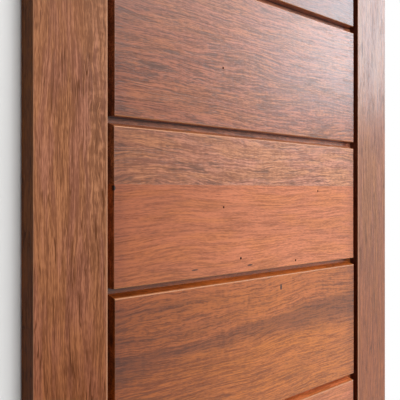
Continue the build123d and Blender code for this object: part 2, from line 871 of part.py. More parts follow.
with BuildPart() as lock_cover:
    with BuildSketch(plane_y(case_inner_y)):
        span(case_front_x, case_rear_x, case_bottom_z, case_top_z)
        with Locations((spindle_x, handle_z)):
            Circle(follower_radius + follower_running_gap, mode=Mode.SUBTRACT)
        with Locations((spindle_x, key_z)):
            Circle(hub_radius + follower_running_gap, mode=Mode.SUBTRACT)
    extrude(amount=case_wall)
finish(lock_cover.part, "lock_cover")

with BuildPart() as lock_forend:
    with BuildSketch(plane_x(-rebate_edge_x)):
        with Locations((lock_y, forend_z)):
            SlotOverall(forend_height, forend_width, rotation=upright_degrees)
        with Locations((lock_y, latch_z)):
            Rectangle(
                latch_thickness + 2 * bolt_clearance,
                latch_height + 2 * bolt_clearance,
                mode=Mode.SUBTRACT,
            )
        with Locations((lock_y, deadbolt_z)):
            Rectangle(
                deadbolt_thickness + 2 * bolt_clearance,
                deadbolt_height + 2 * bolt_clearance,
                mode=Mode.SUBTRACT,
            )
    extrude(amount=forend_thickness)
    screw_holes(forend_screw_planes, *plate_screw)
finish(lock_forend.part, "lock_forend")

with BuildPart() as forend_screws:
    screw_bodies(forend_screw_planes, *plate_screw)
finish(forend_screws.part, "forend_screws")

# Latch: a bevelled head, a flat tail over the follower and a hook that its arm pushes back
latch_tip_x = -rebate_edge_x - latch_throw
latch_rear_x = latch_tip_x + latch_head_length
with BuildPart() as latch_bolt:
    with BuildSketch(plane_z(latch_z - latch_height / 2)):
        with BuildLine():
            Polyline(
                (latch_rear_x, latch_front_y),
                (latch_tip_x, latch_front_y),
                (latch_tip_x, latch_front_y + latch_nose),
                (-rebate_edge_x, latch_back_y),
                (latch_rear_x, latch_back_y),
                close=True,
            )
        make_face()
    extrude(amount=latch_height)
    with BuildSketch(plane_y(latch_front_y + latch_tail_thickness)):
        span(latch_rear_x, hook_end_x, latch_tail_z, latch_tail_z + latch_tail_height)
        span(hook_x, hook_end_x, hook_bottom_z, latch_tail_z)
    extrude(amount=latch_tail_thickness)
finish(latch_bolt.part, "latch_bolt")

with BuildPart() as latch_spring:
    with BuildLine():
        coil = Helix(
            spring_pitch,
            spring_length,
            spring_radius,
            center=(hook_end_x + spring_wire_radius, lock_y, spring_z),
            direction=(1, 0, 0),
        )
    with BuildSketch(Plane(origin=coil @ 0, z_dir=coil % 0)):
        Circle(spring_wire_radius)
    sweep(is_frenet=True)
finish(latch_spring.part, "latch_spring")

# Follower: turned by the spindle, with an arm that leans towards the forend at rest
with BuildPart() as follower:
    with BuildSketch(plane_y(case_inner_y)):
        with Locations((spindle_x, handle_z)):
            Circle(follower_radius)
    extrude(amount=case_thickness)
    with BuildSketch(plane_y(lock_y + follower_arm_thickness / 2)):
        arm_middle = ((spindle_x + follower_tip_x) / 2, (handle_z + follower_tip_z) / 2)
        SlotCenterPoint(arm_middle, (follower_tip_x, follower_tip_z), follower_arm_width)
        with Locations((follower_tip_x, follower_tip_z)):
            Circle(follower_tip_radius)
    extrude(amount=follower_arm_thickness)
    with BuildSketch(plane_y(case_inner_y)):
        with Locations((spindle_x, handle_z)):
            Rectangle(spindle_size + 2 * spindle_clearance, spindle_size + 2 * spindle_clearance)
    extrude(amount=case_thickness, mode=Mode.SUBTRACT)
finish(follower.part, "follower")

# Deadbolt: a square head and a thin tail whose notch takes the hub's pin
deadbolt_rear_x = -rebate_edge_x + deadbolt_head_length
deadbolt_front_y = lock_y - deadbolt_thickness / 2
with BuildPart() as deadbolt:
    with BuildSketch(plane_x(-rebate_edge_x)):
        with Locations((lock_y, deadbolt_z)):
            Rectangle(deadbolt_thickness, deadbolt_height)
    extrude(amount=deadbolt_head_length)
    chamfer(deadbolt.faces().sort_by(Axis.X)[0].edges(), deadbolt_chamfer)
    with BuildSketch(plane_y(deadbolt_front_y + deadbolt_tail_thickness)):
        tail_end_x = deadbolt_rear_x + deadbolt_tail_length
        span(deadbolt_rear_x, tail_end_x, tail_top_z - deadbolt_tail_height, tail_top_z)
        notch_half = hub_pin_radius + deadbolt_slot_gap
        notch_floor_z = tail_top_z - deadbolt_tail_height + deadbolt_slot_floor
        span(
            hub_pin_x - notch_half,
            hub_pin_x + notch_half,
            notch_floor_z,
            tail_top_z,
            Mode.SUBTRACT,
        )
    extrude(amount=deadbolt_tail_thickness)
finish(deadbolt.part, "deadbolt")

# Hub that throws the deadbolt: an arm on its inner half and a pin in the bolt's notch
with BuildPart() as deadbolt_hub:
    with BuildSketch(plane_y(case_inner_y)):
        with Locations((spindle_x, key_z)):
            Circle(hub_radius)
    extrude(amount=case_thickness)
    with BuildSketch(plane_y(cover_y - hub_pin_end_gap)):
        hub_middle = ((spindle_x + hub_pin_x) / 2, (key_z + hub_pin_z) / 2)
        SlotCenterPoint(hub_middle, (hub_pin_x, hub_pin_z), hub_arm_width)
    extrude(amount=hub_arm_thickness)
    with BuildSketch(plane_y(cover_y - hub_pin_end_gap)):
        with Locations((hub_pin_x, hub_pin_z)):
            Circle(hub_pin_radius)
    extrude(amount=cover_y - floor_y - 2 * hub_pin_end_gap)
    with BuildSketch(plane_y(case_inner_y)):
        with Locations((spindle_x, key_z)):
            Rectangle(
                tailpiece_thickness + 2 * tailpiece_clearance,
                tailpiece_width + 2 * tailpiece_clearance,
            )
    extrude(amount=case_thickness, mode=Mode.SUBTRACT)
finish(deadbolt_hub.part, "deadbolt_hub")

# Spindle through the follower, with a lever and a rose on each face
with BuildPart() as spindle:
    with BuildSketch(plane_y(leaf_back_y + spindle_in_lever)):
        with Locations((spindle_x, handle_z)):
            Rectangle(spindle_size, spindle_size)
    extrude(amount=leaf_thickness + 2 * spindle_in_lever)
finish(spindle.part, "spindle")

for name, (face_y, way) in lever_faces.items():
    bar_y = face_y + way * lever_stand
    with BuildPart() as lever:
        with BuildLine() as path:
            FilletPolyline(
                (spindle_x, face_y, handle_z),
                (spindle_x, bar_y, handle_z),
                (spindle_x + lever_length, bar_y, handle_z),
                radius=lever_elbow_radius,
            )
        with BuildSketch(Plane(origin=path.line @ 0, z_dir=path.line % 0)):
            Circle(lever_radius)
        sweep()
        fillet(lever.faces().sort_by(Axis.X)[-1].edges(), lever_tip_radius)
        with BuildSketch(plane_y(face_y)):
            with Locations((spindle_x, handle_z)):
                Rectangle(spindle_size + 2 * spindle_clearance, spindle_size + 2 * spindle_clearance)
        extrude(amount=-way * spindle_in_lever, mode=Mode.SUBTRACT)
    finish(lever.part, f"lever_{name}")

    with BuildPart() as rose:
        with BuildSketch(plane_y(face_y)):
            with Locations((spindle_x, handle_z)):
                Circle(rose_radius)
        extrude(amount=-way * rose_thickness)
        outer_face = rose.faces().filter_by(Axis.Y).sort_by(Axis.Y)[0 if way < 0 else -1]
        fillet(outer_face.edges(), rose_arris)
        with BuildSketch(plane_y(face_y)):
            with Locations((spindle_x, handle_z)):
                Circle(lever_radius + lever_running_gap)
        extrude(amount=-way * rose_thickness, mode=Mode.SUBTRACT)
    finish(rose.part, f"rose_{name}")

# Key cylinder on the outside, with its turning plug
cylinder_face_y = leaf_front_y - cylinder_flange_thickness
plug_rear_y = case_outer_y - plug_end_gap
with BuildPart() as key_cylinder:
    with BuildSketch(plane_y(leaf_front_y)):
        with Locations((spindle_x, key_z)):
            Circle(cylinder_flange_radius)
    extrude(amount=cylinder_flange_thickness)
    fillet(key_cylinder.faces().sort_by(Axis.Y)[0].edges(), cylinder_arris)
    with BuildSketch(plane_y(case_outer_y)):
        with Locations((spindle_x, key_z)):
            Circle(cylinder_radius)
    extrude(amount=case_outer_y - leaf_front_y)
    with BuildSketch(plane_y(case_outer_y)):
        with Locations((spindle_x, key_z)):
            Circle(plug_radius + plug_running_gap)
    extrude(amount=case_outer_y - cylinder_face_y, mode=Mode.SUBTRACT)
finish(key_cylinder.part, "key_cylinder")

with BuildPart() as key_plug:
    with BuildSketch(plane_y(plug_rear_y)):
        with Locations((spindle_x, key_z)):
            Circle(plug_radius)
    extrude(amount=plug_rear_y - cylinder_face_y)
    with BuildSketch(plane_y(cylinder_face_y + keyway_depth)):
        with Locations((spindle_x, key_z)):
            Rectangle(keyway_width, keyway_height)
    extrude(amount=keyway_depth, mode=Mode.SUBTRACT)
finish(key_plug.part, "key_plug")

# Thumbturn on the inside, joined to the plug by a flat tailpiece through the hub
thumb_face_y = leaf_back_y + rose_thickness
with BuildPart() as thumbturn_rose:
    with BuildSketch(plane_y(leaf_back_y)):
        with Locations((spindle_x, key_z)):
            Circle(cylinder_flange_radius)
    extrude(amount=-rose_thickness)
    fillet(thumbturn_rose.faces().sort_by(Axis.Y)[-1].edges(), rose_arris)
    with BuildSketch(plane_y(leaf_back_y)):
        with Locations((spindle_x, key_z)):
            Circle(thumb_stem_radius + follower_running_gap)
    extrude(amount=-rose_thickness, mode=Mode.SUBTRACT)
finish(thumbturn_rose.part, "thumbturn_rose")

thumb_stem_y = case_inner_y + thumb_stem_gap
thumb_knob_y = thumb_face_y + thumb_stem_gap
with BuildPart() as thumbturn:
    with BuildSketch(plane_y(thumb_knob_y)):
        with Locations((spindle_x, key_z)):
            SlotOverall(thumb_length, thumb_width, rotation=upright_degrees)
    extrude(amount=-thumb_height)
    fillet(thumbturn.faces().sort_by(Axis.Y)[-1].edges(), thumb_arris)
    with BuildSketch(plane_y(thumb_knob_y)):
        with Locations((spindle_x, key_z)):
            Circle(thumb_stem_radius)
    extrude(amount=thumb_knob_y - thumb_stem_y)
    with BuildSketch(plane_y(thumb_stem_y)):
        with Locations((spindle_x, key_z)):
            Rectangle(
                tailpiece_thickness + 2 * tailpiece_clearance,
                tailpiece_width + 2 * tailpiece_clearance,
            )
    extrude(amount=-thumb_socket_depth, mode=Mode.SUBTRACT)
finish(thumbturn.part, "thumbturn")

with BuildPart() as tailpiece:
    with BuildSketch(plane_y(thumb_stem_y + thumb_socket_depth)):
        with Locations((spindle_x, key_z)):
            Rectangle(tailpiece_thickness, tailpiece_width)
    extrude(amount=thumb_stem_y + thumb_socket_depth - plug_rear_y)
finish(tailpiece.part, "tailpiece")
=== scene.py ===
import math
from collections import namedtuple

import bpy
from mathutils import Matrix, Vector


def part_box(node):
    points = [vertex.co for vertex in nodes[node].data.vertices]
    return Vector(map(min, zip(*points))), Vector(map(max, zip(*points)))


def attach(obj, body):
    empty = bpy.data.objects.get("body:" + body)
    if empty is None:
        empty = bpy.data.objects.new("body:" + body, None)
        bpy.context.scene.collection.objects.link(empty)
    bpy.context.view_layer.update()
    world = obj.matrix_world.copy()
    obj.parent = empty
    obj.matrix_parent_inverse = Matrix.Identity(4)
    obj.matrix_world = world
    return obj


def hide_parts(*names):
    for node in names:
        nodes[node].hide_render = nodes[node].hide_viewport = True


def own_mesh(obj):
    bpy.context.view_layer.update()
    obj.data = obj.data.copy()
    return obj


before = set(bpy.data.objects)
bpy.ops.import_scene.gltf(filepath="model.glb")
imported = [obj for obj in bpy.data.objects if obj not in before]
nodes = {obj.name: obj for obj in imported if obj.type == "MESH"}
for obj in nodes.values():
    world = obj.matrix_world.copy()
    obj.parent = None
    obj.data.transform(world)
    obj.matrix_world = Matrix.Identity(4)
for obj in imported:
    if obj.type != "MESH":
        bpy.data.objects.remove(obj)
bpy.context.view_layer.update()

scene = bpy.context.scene

# Camera: level, outside the door on its lock side, fitted to the photograph's edges and channels
camera_place = (-0.9576, -0.7948, 1.4829)
camera_turn = 47.9
camera_lens = 62.44
camera_sensor = 36.0
camera_shift_y = -0.0119
level_pitch = 90.0

# Lights: each faces its target
Light = namedtuple("Light", "place target width height watts tone")
lights = {
    "high_soft_box": Light((3.3, -4.6, 5.6), (0.0, 0.0, 1.6), 4.2, 4.2, 187.0, (1.0, 0.99, 0.98)),
    "side_panel": Light((2.28, -1.2, 2.42), (0.25, 0.0, 1.75), 0.69, 0.95, 16.5, (0.68, 0.87, 1.0)),
    "front_soft_box": Light((0.5, -6.4, 3.9), (0.0, 0.0, 1.5), 3.9, 2.7, 214.0, (1.0, 0.995, 0.985)),
    "inside_soft_box": Light((-1.2, 3.4, 3.2), (0.0, 0.0, 1.2), 2.2, 2.2, 105.0, (1.0, 1.0, 1.0)),
}
world_colour = (1.0, 1.0, 1.0, 1.0)
ambient_strength = 0.27
background_strength = 1.0

# Noise: its detail, its usual roughness and the level that it swings about
plain_detail = 1.0
usual_detail = 2.0
fine_detail = 3.0
usual_roughness = 0.5
noise_middle = 0.5
# Sockets of the colour mixing node, by number because their names repeat
mix_share = 0
mix_first = 6
mix_second = 7
mix_result = 2

# Bumps: their depth and how strongly they show
Relief = namedtuple("Relief", "depth strength")

# Floor
floor_radius = 3.2
floor_sides = 96
floor_tone = (0.80, 0.80, 0.79)
floor_cloud_patch = (0.8, 0.5)
floor_cloud_shade = 0.97
floor_roughness = 0.8

# Paint: brush marks along the piece, and clouds that darken it a little
paint_tone = (0.84, 0.84, 0.838)
brush_patch = (0.16, 0.0011)
paint_cloud_patch = (0.30, 0.12)
paint_cloud_shade = 0.965
paint_cloud_relief = 0.6
paint_roughness = (0.30, 0.46)
paint_ior = 1.40
paint_coat = 0.15
paint_relief = Relief(0.00025, 0.35)

# Metals: tone, roughness and the patch that the brushing draws out
MetalLook = namedtuple("MetalLook", "tone roughness patch")
zinc = MetalLook((0.66, 0.67, 0.69), 0.36, (0.006, 0.004))
steel = MetalLook((0.62, 0.61, 0.59), 0.30, (0.06, 0.0005))
brass = MetalLook((0.78, 0.60, 0.30), 0.28, (0.03, 0.0005))
aluminium = MetalLook((0.72, 0.72, 0.73), 0.34, (0.20, 0.0008))
metal_cloud_patch = (0.05, 0.03)
metal_shade = 0.82
metal_brushing_share = 0.5
metal_cloud_share = 0.5
brushed_smoother = 0.08
brushed_rougher = 0.12
metal_relief = Relief(0.00008, 0.4)

# Rubber and nylon: tone, roughness and size of the speckle
SoftLook = namedtuple("SoftLook", "tone roughness speckle")
rubber = SoftLook((0.035, 0.035, 0.036), 0.72, 0.0006)
nylon = SoftLook((0.80, 0.79, 0.74), 0.55, 0.0008)
soft_cloud_patch = (0.08, 0.02)
soft_shade = 0.75
speckle_roughness = 0.1
soft_relief = Relief(0.0001, 0.5)

# Timber: patches of the grain, as their length along it and their width across it
broad_patch = (0.60, 0.030)
streak_patch = (0.085, 0.0034)
fibre_patch = (0.010, 0.0013)
fleck_patch = (0.018, 0.0013)
line_patch = (0.14, 0.0065)
dash_patch = (0.045, 0.012)
cluster_patch = (0.16, 0.022)
ripple_patch = (0.009, 0.016)
drift_patch = (0.9, 0.30)
sweep_patch = (0.26, 0.09)
curl_patch = (0.045, 0.026)
seam_patch = (0.30, 0.30)
hue_patch = (0.12, 0.019)
end_patch = (0.030, 0.007)
streak_detail = 4.0
streak_roughness = 0.80
# How far the grain is swept and curled, and how far apart pieces and staves lie in it
sweep_shift = 0.036
curl_shift = 0.009
seed_step = 3.7
stave_step = 1.9
# Seam between two staves: half its height, its slope, how far waviness blurs it, the stain above it
seam_half = 0.0004
seam_tilt = 0.0045
seam_blur = 0.30
seam_stain_height = 0.020
stain_pull = 0.26
# What counts in the tone of the grain
streak_share = 0.75
fibre_share = 0.25
drift_share = 0.15
figure_share = 0.15
# How strong the flecks are outside and inside a cluster, and the dark lines
fleck_strengths = (0.08, 0.55)
line_strength = 0.7
# Gloss and relief of the timber, and what flecks and fibres add to them
timber_roughness = (0.22, 0.36)
fleck_roughness = 0.4
timber_relief = Relief(0.0003, 0.5)
fleck_relief = -0.6
fibre_relief = 0.6
# Levels between which a noise or a direction goes from 0 to 1
cluster_levels = (0.42, 0.66)
fleck_levels = (0.50, 0.66)
line_levels = (0.036, 0.010)
dash_levels = (0.46, 0.60)
band_levels = (0.38, 0.66)
tone_levels = (0.41, 0.59)
hue_levels = (0.38, 0.62)
pore_levels = (0.35, 0.65)
side_levels = (0.80, 0.97)
arris_levels = (0.05, 0.22)
slope_levels = (0.15, 0.24)
front_levels = (0.70, 0.90)
mark_levels = (1.0, 0.55)
# Arrises worn bare and lit by a painted highlight, and a painted highlight line on a stile by its distance
# from the channel
arris_wear_and_highlight_strength = 0.7
highlight_line_strength = 0.75
highlight_line_span = (0.0034, 0.0022)
# Painted shade under the next board's edge, by its distance below that edge and behind the face
under_shade_span = (0.0028, 0.0)
sunk_span = (0.0, 0.006)
# Holes and knots by their depth behind the face
shallow_span = (0.006, 0.004)
# Painted highlights on the lips of a channel, by their distance from a board's edge and behind the face
lip_highlight_strength = 0.85
lip_span = (0.0019, 0.0009)
lip_depth_span = (0.003, 0.002)
board_face_height = 0.226
# Boards get painted shade towards the lock by X, and painted shade towards their ends beside the channels
# by X either way
lock_side_shade_span = (0.12, -0.38)
board_end_shade_span = (0.285, 0.330)
# Stiles get painted shade low down by Z, and are rough by the distance from the channel and by Z
low_down_shade_span = (1.55, 1.10)
rough_side_span = (0.058, 0.020)
rough_height_span = (1.25, 1.62)
# Refraction of oiled boards, a satin stile and a dry one
oiled_ior = 1.49
satin_ior = 1.41
dry_ior = 1.16


def colour(red, green, blue):
    return (red, green, blue, 1.0)


# Staves of the timber: light and dark tones, how curly, how banded and how flecked
Stave = namedtuple("Stave", "light dark curl bands flecks")
staves = {
    "stile": Stave(colour(0.470, 0.190, 0.097), colour(0.241, 0.088, 0.044), 0.2, 0.10, 1.2),
    "rough": Stave(colour(0.49, 0.209, 0.117), colour(0.231, 0.090, 0.050), 1.8, 0.10, 1.5),
    "pink": Stave(colour(0.73, 0.305, 0.168), colour(0.34, 0.120, 0.058), 1.0, 0.20, 1.0),
    "orange": Stave(colour(0.73, 0.233, 0.092), colour(0.43, 0.124, 0.042), 0.35, 0.20, 0.35),
    "brown": Stave(colour(0.555, 0.159, 0.038), colour(0.245, 0.060, 0.010), 1.0, 0.85, 0.5),
    "amber": Stave(colour(0.62, 0.181, 0.031), colour(0.290, 0.070, 0.008), 0.30, 0.20, 0.5),
    "umber": Stave(colour(0.39, 0.126, 0.058), colour(0.17, 0.048, 0.020), 0.7, 0.20, 0.9),
    "rose": Stave(colour(0.615, 0.213, 0.104), colour(0.230, 0.068, 0.026), 0.5, 0.25, 1.0),
}
fleck_colour = colour(0.125, 0.040, 0.014)
golden_tint = colour(1.01, 1.015, 0.90)
mauve_tint = colour(0.99, 0.985, 1.10)
band_tint = colour(0.48, 0.45, 0.46)
# Bare timber on worn arrises, also a painted highlight on the arrises and beside the stiles' channels
bare_and_highlight_colour = colour(0.52, 0.255, 0.145)
# Painted highlights on the lower and upper lips of a board's channels
lower_lip_highlight_colour = colour(0.34, 0.115, 0.026)
upper_lip_highlight_colour = colour(0.58, 0.240, 0.105)
# Painted light on the upward slope of a channel
slope_light_tint = colour(1.20, 1.10, 0.95)
# Painted shade under the edge of the board above
under_shade_tint = colour(0.12, 0.07, 0.045)
mark_tint = colour(0.06, 0.05, 0.06)
# Painted shade towards the lock side of the boards
lock_side_shade_tint = colour(0.61, 0.51, 0.40)
# Painted shade towards the board ends beside the channels
board_end_shade_tint = colour(0.76, 0.72, 0.74)
end_grain_tints = (colour(0.70, 0.58, 0.46), colour(1.70, 1.50, 1.20))

# Boards from the bottom up: seed of the grain, two staves, the seam's share of the height, its waviness
Board = namedtuple("Board", "seed lower upper seam_share waviness")
boards = (
    Board(1, "amber", "rose", 0.42, 0.0),
    Board(2, "brown", "orange", 0.58, 0.0),
    Board(3, "orange", "pink", 0.47, 0.0),
    Board(4, "amber", "orange", 0.36, 0.02),
    Board(14, "amber", "brown", 0.49, 0.06),
    Board(6, "orange", "pink", 0.588, 0.0),
    Board(23, "rose", "rose", 0.30, 0.02),
    Board(8, "umber", "umber", 0.40, 0.02),
    Board(9, "orange", "rose", 0.60, 0.0),
)

# Stiles: seed of the grain, painted shade on their edges and low down, refraction, whether rough by the
# channel
Stile = namedtuple("Stile", "seed edge_tint low_tint ior rough")
stiles = {
    # Each stile's edge tint is painted shade on its sides, and its low tint is painted shade low down
    "lock_stile": Stile(21, colour(0.37, 0.28, 0.13), colour(0.66, 0.53, 0.42), dry_ior, True),
    "hinge_stile": Stile(22, colour(0.22, 0.13, 0.10), colour(0.92, 0.67, 0.38), satin_ior, False),
}

# Seeds of the grain of pieces from a single stave
rail_seeds = {"bottom_rail": 31, "top_rail": 32}
sill_seed = 41
dowel_seed = 43

# Holes and knots of the boards: their middle and their half sizes
Mark = namedtuple("Mark", "x z half_width half_height")
board_marks = {
    "board_5": (Mark(0.068, 1.3176, 0.0030, 0.0060),),
    "board_6": (
        Mark(-0.3270, 1.4930, 0.0032, 0.0042),
        Mark(-0.1615, 1.3665, 0.0085, 0.0012),
        Mark(-0.0228, 1.3640, 0.0080, 0.0014),
        Mark(-0.0475, 1.3772, 0.0026, 0.0026),
        Mark(0.1142, 1.3627, 0.0024, 0.0024),
        Mark(0.1898, 1.4911, 0.0022, 0.0022),
        Mark(-0.0922, 1.4635, 0.0022, 0.0022),
    ),
    "board_7": (Mark(-0.0936, 1.6902, 0.0022, 0.0022),),
}

# A board's outside: its lower edge, the lower edge of the board above, its face
Outside = namedtuple("Outside", "low_z next_z face_y")
# A point of a surface, and how far the surface faces each way there
Point = namedtuple("Point", "x y z")
Facing = namedtuple("Facing", "sideways frontways upwards")


class Finish:
    """One material's node tree, with short calls for the nodes that the finishes share."""

    def __init__(self, name):
        self.material = bpy.data.materials.new(name)
        self.material.use_nodes = True
        self.tree = self.material.node_tree
        self.shader = self.tree.nodes["Principled BSDF"]

    def add(self, kind, inputs, **settings):
        node = self.tree.nodes.new("ShaderNode" + kind)
        for key, value in settings.items():
            setattr(node, key, value)
        for socket, value in inputs.items():
            self.feed(node.inputs[socket], value)
        return node

    def feed(self, socket, value):
        if isinstance(value, bpy.types.NodeSocket):
            self.tree.links.new(value, socket)
        else:
            socket.default_value = value

    def set(self, **inputs):
        """Feeds the shader's own sockets, named with underscores for blanks."""
        for name, value in inputs.items():
            self.feed(self.shader.inputs[name.replace("_", " ")], value)

    def calc(self, operation, *values):
        return self.add("Math", dict(enumerate(values)), operation=operation).outputs[0]

    def less(self, value, taken):
        return self.calc("SUBTRACT", value, taken)

    def gap(self, value, mark):
        """How far a value lies from a mark, either way."""
        return self.calc("ABSOLUTE", self.less(value, mark))

    def times(self, product, *values):
        for value in values:
            product = self.calc("MULTIPLY", product, value)
        return product

    def most(self, largest, *values):
        for value in values:
            largest = self.calc("MAXIMUM", largest, value)
        return largest

    def total(self, amount, *terms):
        """An amount plus values, each times its weight."""
        for value, weight in terms:
            amount = self.calc("MULTIPLY_ADD", value, weight, amount)
        return amount

    def step(self, value, start, end):
        """0 up to the start, 1 from the end on, smooth between, whichever of them is higher."""
        inputs = {"Value": value, "From Min": start, "From Max": end}
        return self.add("MapRange", inputs, interpolation_type="SMOOTHSTEP").outputs[0]

    def span(self, value, low, high):
        """A value from 0 to 1 laid out from low to high."""
        return self.add("MapRange", {"Value": value, "To Min": low, "To Max": high}).outputs[0]

    def mix(self, share, first, second, blend="MIX"):
        inputs = {mix_share: share, mix_first: first, mix_second: second}
        return self.add("Mix", inputs, data_type="RGBA", blend_type=blend).outputs[mix_result]

    def tint(self, share, base, tone):
        """A base colour multiplied by a tone, as far as the share goes."""
        return self.mix(share, base, tone, "MULTIPLY")

    def clouded(self, cloud, tone, shade):
        """A tone that is darker by a shade where the cloud is low."""
        dark = [part * shade for part in tone]
        return self.mix(cloud, colour(*dark), colour(*tone))

    def place(self):
        """The point's X, Y and Z in the door's own frame."""
        place = self.add("TexCoord", {}).outputs["Object"]
        return Point(*self.add("SeparateXYZ", {"Vector": place}).outputs)

    def facing(self):
        """How far the surface faces along X, Y and Z, each from 0 to 1."""
        normal = self.add("TexCoord", {}).outputs["Normal"]
        parts = self.add("SeparateXYZ", {"Vector": normal}).outputs
        return Facing(*(self.calc("ABSOLUTE", part) for part in parts))

    def noise(self, place, patch, detail=usual_detail, roughness=usual_roughness):
        """Noise in patches of a length along the grain and a width across it and into the depth."""
        along, across, depth = place
        length, width = patch
        vector = self.add("CombineXYZ", {
            "X": self.calc("DIVIDE", along, length),
            "Y": self.calc("DIVIDE", across, width),
            "Z": self.calc("DIVIDE", depth, width),
        }).outputs[0]
        inputs = {"Vector": vector, "Scale": 1.0, "Detail": detail, "Roughness": roughness}
        return self.add("TexNoise", inputs).outputs[0]

    def swing(self, place, patch, detail=usual_detail):
        """The same noise, as far as it lies above or below its middle."""
        return self.less(self.noise(place, patch, detail), noise_middle)

    def bump(self, height, relief):
        inputs = {"Height": height, "Distance": relief.depth, "Strength": relief.strength}
        self.set(Normal=self.add("Bump", inputs).outputs[0])


def laid_along(point, axis):
    """A point's places along an axis, across it and into the depth."""
    x, y, z = point
    return {"X": (x, z, y), "Y": (y, x, z), "Z": (z, x, y)}[axis]


def grain_place(f, point, axis, seed):
    """A point's place in the grain. Each seed is another stretch of timber."""
    along, across, depth = laid_along(point, axis)
    return f.calc("ADD", along, seed * seed_step), across, depth


def blend_staves(f, share, first, second):
    """Tones and figure that go from one stave to another."""
    return Stave(
        f.mix(share, first.light, second.light),
        f.mix(share, first.dark, second.dark),
        f.span(share, first.curl, second.curl),
        f.span(share, first.bands, second.bands),
        f.span(share, first.flecks, second.flecks),
    )


def glued(f, point, place, board, seam_z):
    """A board's two staves, its place in their grain, and the stain above the seam."""
    along, across, depth = place
    wave = f.swing(place, seam_patch)
    over = f.total(f.less(point.z, seam_z), (point.x, -seam_tilt), (wave, board.waviness))
    half = seam_half + board.waviness * seam_blur
    above = f.step(over, -half, half)
    stain = f.times(above, f.step(over, seam_stain_height, 0.0))
    # A wavy seam only parts two tones of one stave, so the grain runs on across it
    if not board.waviness:
        along = f.total(along, (above, stave_step))
    stave = blend_staves(f, above, staves[board.lower], staves[board.upper])
    return stave, (along, across, depth), stain


def flecking(f, place, stave, stain):
    """How strong the dark flecks and lines are: flecks gather in clusters and above a seam."""
    cluster = f.step(f.total(f.noise(place, cluster_patch), (stain, stain_pull)), *cluster_levels)
    flecks = f.step(f.noise(place, fleck_patch, plain_detail), *fleck_levels)
    flecks = f.times(flecks, f.span(cluster, *fleck_strengths))
    lines = f.step(f.calc("ABSOLUTE", f.swing(place, line_patch, plain_detail)), *line_levels)
    dashes = f.step(f.noise(place, dash_patch, plain_detail), *dash_levels)
    return f.times(f.most(flecks, f.times(lines, dashes, line_strength)), stave.flecks)


def grain(f, place, stave, stain=0.0):
    """Colour, roughness and relief of the grain of a stave."""
    along, across, depth = place
    sweep = f.swing(place, sweep_patch, plain_detail)
    curl = f.times(f.swing(place, curl_patch), stave.curl)
    bent = (along, f.total(across, (sweep, sweep_shift), (curl, curl_shift)), depth)

    streak = f.noise(bent, streak_patch, streak_detail, streak_roughness)
    fibre = f.noise(bent, fibre_patch, plain_detail)
    drift = f.swing(place, drift_patch, plain_detail)
    ripple = f.swing(place, ripple_patch)
    figure = f.times(ripple, stave.curl)
    tone = f.total(f.times(streak, streak_share), (fibre, fibre_share), (drift, drift_share))
    tone = f.total(tone, (figure, figure_share))
    base = f.mix(f.step(tone, *tone_levels), stave.dark, stave.light)
    hue = f.mix(f.step(f.noise(bent, hue_patch), *hue_levels), mauve_tint, golden_tint)
    base = f.tint(1.0, base, hue)
    bands = f.times(f.step(f.noise(bent, broad_patch), *band_levels), stave.bands)
    base = f.tint(bands, base, band_tint)

    flecks = flecking(f, bent, stave, stain)
    base = f.mix(flecks, base, fleck_colour)
    roughness = f.span(f.total(streak, (flecks, fleck_roughness)), *timber_roughness)
    relief = f.total(ripple, (fibre, fibre_relief), (flecks, fleck_relief))
    return base, roughness, relief


def end_grain(f, point):
    """Tint of a sawn end: dark, with pale pores."""
    pores = f.step(f.noise((point.z, point.y, point.x), end_patch, fine_detail), *pore_levels)
    return f.mix(pores, *end_grain_tints)


def edge_wear_light_and_shade(f, base, facing, edge_tint, highlight_line=0.0):
    """Tinted sawn ends and painted shade on a stile's edges, arrises worn bare with a painted highlight,
    and a painted highlight line on the face.
    """
    # On a stile this edge tint is painted shade; on a board end it is the end grain's own colour
    base = f.tint(f.step(facing.sideways, *side_levels), base, edge_tint)
    # Arrises: worn bare, and also a painted highlight
    arris = f.step(f.less(1.0, f.most(*facing)), *arris_levels)
    return f.mix(f.most(highlight_line, f.times(arris, arris_wear_and_highlight_strength)), base, bare_and_highlight_colour)


def painted_light_and_shade(f, base, point, facing, outside):
    """Painted shade under the edge of the board above, painted light on the slope, painted highlights on
    the lips, and painted shade towards the lock and the ends.
    """
    x, y, z = point
    depth = f.less(y, outside.face_y)
    # Painted shade in the channel, under the edge of the board above
    under = f.step(f.less(outside.next_z, z), *under_shade_span)
    base = f.tint(f.times(under, f.step(depth, *sunk_span)), base, under_shade_tint)
    # Painted light on the upward-facing slope
    slope = f.times(f.step(facing.frontways, *slope_levels), f.step(facing.upwards, *side_levels))
    base = f.tint(slope, base, slope_light_tint)
    # Painted shade towards the lock side and towards the board ends
    base = f.tint(f.step(x, *lock_side_shade_span), base, lock_side_shade_tint)
    near_end = f.step(f.calc("ABSOLUTE", x), *board_end_shade_span)
    on_front = f.step(facing.frontways, *front_levels)
    base = f.tint(f.times(near_end, on_front), base, board_end_shade_tint)
    # Painted highlights on the lips of the channels
    up = f.less(z, outside.low_z)
    outer = f.times(f.step(depth, *lip_depth_span), lip_highlight_strength)
    lower_lip = f.times(f.step(up, *lip_span), outer)
    upper_lip = f.times(f.step(f.gap(up, board_face_height), *lip_span), outer)
    base = f.mix(lower_lip, base, lower_lip_highlight_colour)
    return f.mix(upper_lip, base, upper_lip_highlight_colour)


